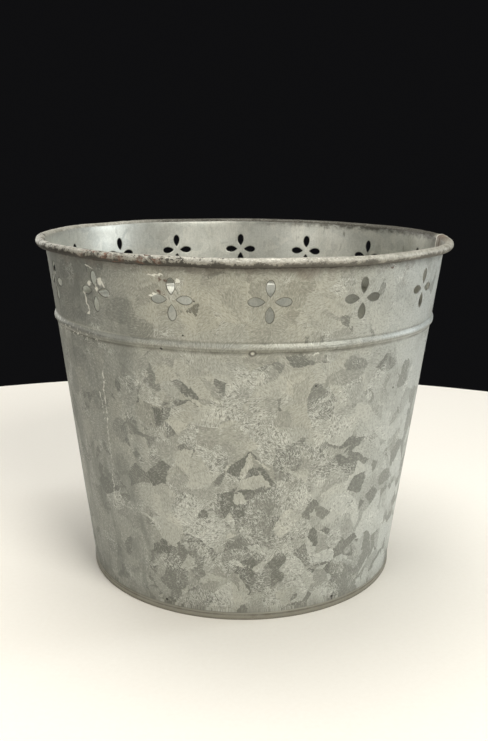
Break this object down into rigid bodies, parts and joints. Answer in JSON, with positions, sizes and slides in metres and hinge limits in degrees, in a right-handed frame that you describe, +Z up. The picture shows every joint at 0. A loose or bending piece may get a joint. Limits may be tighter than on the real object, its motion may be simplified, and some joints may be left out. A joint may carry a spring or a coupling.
{
  "type": "florist bucket",
  "caption": "Tapered galvanised sheet-steel florist bucket with a wired rim, a band of pierced four-petal flowers, a swaged bead and a double-seamed recessed bottom.",
  "frame": {"origin": "centre of the foot ring, on the surface that the bucket stands on", "axes": "+Z up along the bucket's axis, -Y to the front, +X to the right as seen from the front, where the side lap is"},
  "size_m": [0.254, 0.254, 0.2104],
  "materials": {
    "galvanised_sheet": "aged hot-dip zinc with grey spangle, dull sheen, grime and rust along the rim",
    "pan_sheet": "aged zinc, duller and browner at the seam",
    "core_wire": "plain drawn steel wire, hidden in the rim",
    "seam_compound": "dark sealing compound, hidden in the seam"
  },
  "bodies": {
    "root": {"body_wall": "galvanised_sheet", "bottom_pan": "pan_sheet", "rim_wire": "core_wire", "bottom_seam_sealant": "seam_compound"}
  },
  "joints": []
}
